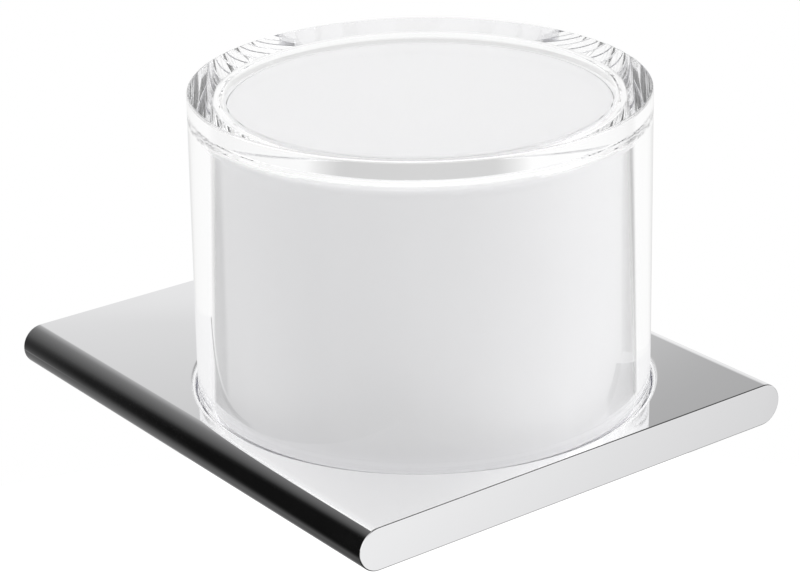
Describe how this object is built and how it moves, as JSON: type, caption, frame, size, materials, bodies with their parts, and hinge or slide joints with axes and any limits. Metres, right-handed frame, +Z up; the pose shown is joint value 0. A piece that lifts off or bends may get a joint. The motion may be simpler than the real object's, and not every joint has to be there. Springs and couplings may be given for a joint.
{
  "type": "lotion dispenser",
  "caption": "Wall-held dispenser: a white container in a thick clear jacket stands in a pocket of a polished plate and is pressed down to pump lotion out below",
  "frame": {"origin": "middle of the plate's face that meets the wall", "axes": "+Z up, +Y into the wall, so the front of the dispenser faces -Y, +X to the right seen from the front"},
  "size_m": [0.0984, 0.1127, 0.0771],
  "materials": {
    "chrome_plate": "polished chrome plating",
    "stainless_steel": "plain stainless steel",
    "natural_plastic": "plain moulded acetal",
    "white_plastic": "white moulded plastic with a light sheen",
    "seal_rubber": "black nitrile rubber",
    "silicone": "translucent silicone rubber",
    "clear_acrylic": "clear polished acrylic"
  },
  "bodies": {
    "holder": {"holder_plate": "chrome_plate", "hanger_screw_left": "stainless_steel", "hanger_screw_right": "stainless_steel", "piston_stem": "natural_plastic", "piston_seal": "seal_rubber", "stem_gasket": "seal_rubber", "stem_washer": "stainless_steel", "stem_nut": "stainless_steel", "nozzle_seal": "seal_rubber", "outlet_valve": "silicone", "outlet_nozzle": "chrome_plate", "return_spring": "stainless_steel"},
    "press_unit": {"container": "white_plastic", "container_lid": "white_plastic", "lid_seal": "silicone", "container_base": "chrome_plate", "base_seal": "silicone", "pump_housing": "natural_plastic", "housing_gasket": "seal_rubber", "pump_collar": "natural_plastic", "inlet_valve": "silicone", "vent_tube": "natural_plastic"},
    "jacket": {"clear_jacket": "clear_acrylic"}
  },
  "joints": [
    {"name": "press", "type": "slide", "parent": "holder", "child": "press_unit", "axis": [0, 0, -1], "range_m": [0, 0.003], "stiffness_N_per_m": 1000, "springref_m": -0.008, "deforming": ["return_spring"]},
    {"name": "jacket_lift", "type": "slide", "parent": "press_unit", "child": "jacket", "axis": [0, 0, 1], "range_m": [0, 0.06]}
  ]
}
